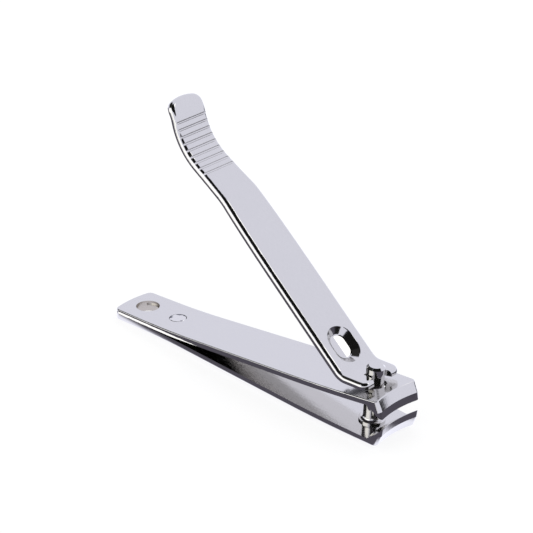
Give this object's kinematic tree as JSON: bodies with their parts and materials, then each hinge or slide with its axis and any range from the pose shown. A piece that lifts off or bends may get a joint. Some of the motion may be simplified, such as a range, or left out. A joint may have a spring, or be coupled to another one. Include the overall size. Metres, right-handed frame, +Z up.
{
  "type": "nail clipper",
  "caption": "Lever nail clipper with two sprung blades, concave jaws, a notched pivot pin and a raised lever with a grooved thumb rest.",
  "frame": {"origin": "centre of the flat underside of the pivot pin's head, which the clipper rests on", "axes": "+Z up along the pivot pin, +X along the blades towards the cutting edges, +Y across the blades"},
  "size_m": [0.0798, 0.0146, 0.0584],
  "materials": {
    "blade": "satin chrome plate with fine polishing lines",
    "lever": "satin chrome plate, bright on its rolled edges",
    "pin": "bright turned chrome",
    "rivet": "satin chrome plate"
  },
  "bodies": {
    "lower": {"lower_blade": "blade", "rear_rivet": "rivet"},
    "upper": {"upper_blade": "blade"},
    "pin": {"pivot_pin": "pin"},
    "lever": {"lever": "lever"}
  },
  "joints": [
    {"name": "blade_squeeze", "type": "hinge", "parent": "lower", "child": "upper", "pos_m": [-0.05732, 0, 0.00222], "axis": [0, 1, 0], "range_deg": [0, 2.2], "stiffness_Nm_per_rad": 0.5, "springref_deg": -17.19},
    {"name": "pin_spin", "type": "hinge", "parent": "lower", "child": "pin", "pos_m": [0, 0, 0], "axis": [0, 0, 1], "continuous": true},
    {"name": "lever_press", "type": "hinge", "parent": "pin", "child": "lever", "pos_m": [-0.00178, 0, 0.01261], "axis": [0, -1, 0], "range_deg": [0, 30]}
  ],
  "couplings": [
    {"joint": "blade_squeeze", "follows": "lever_press", "ratio": 0.073333}
  ]
}
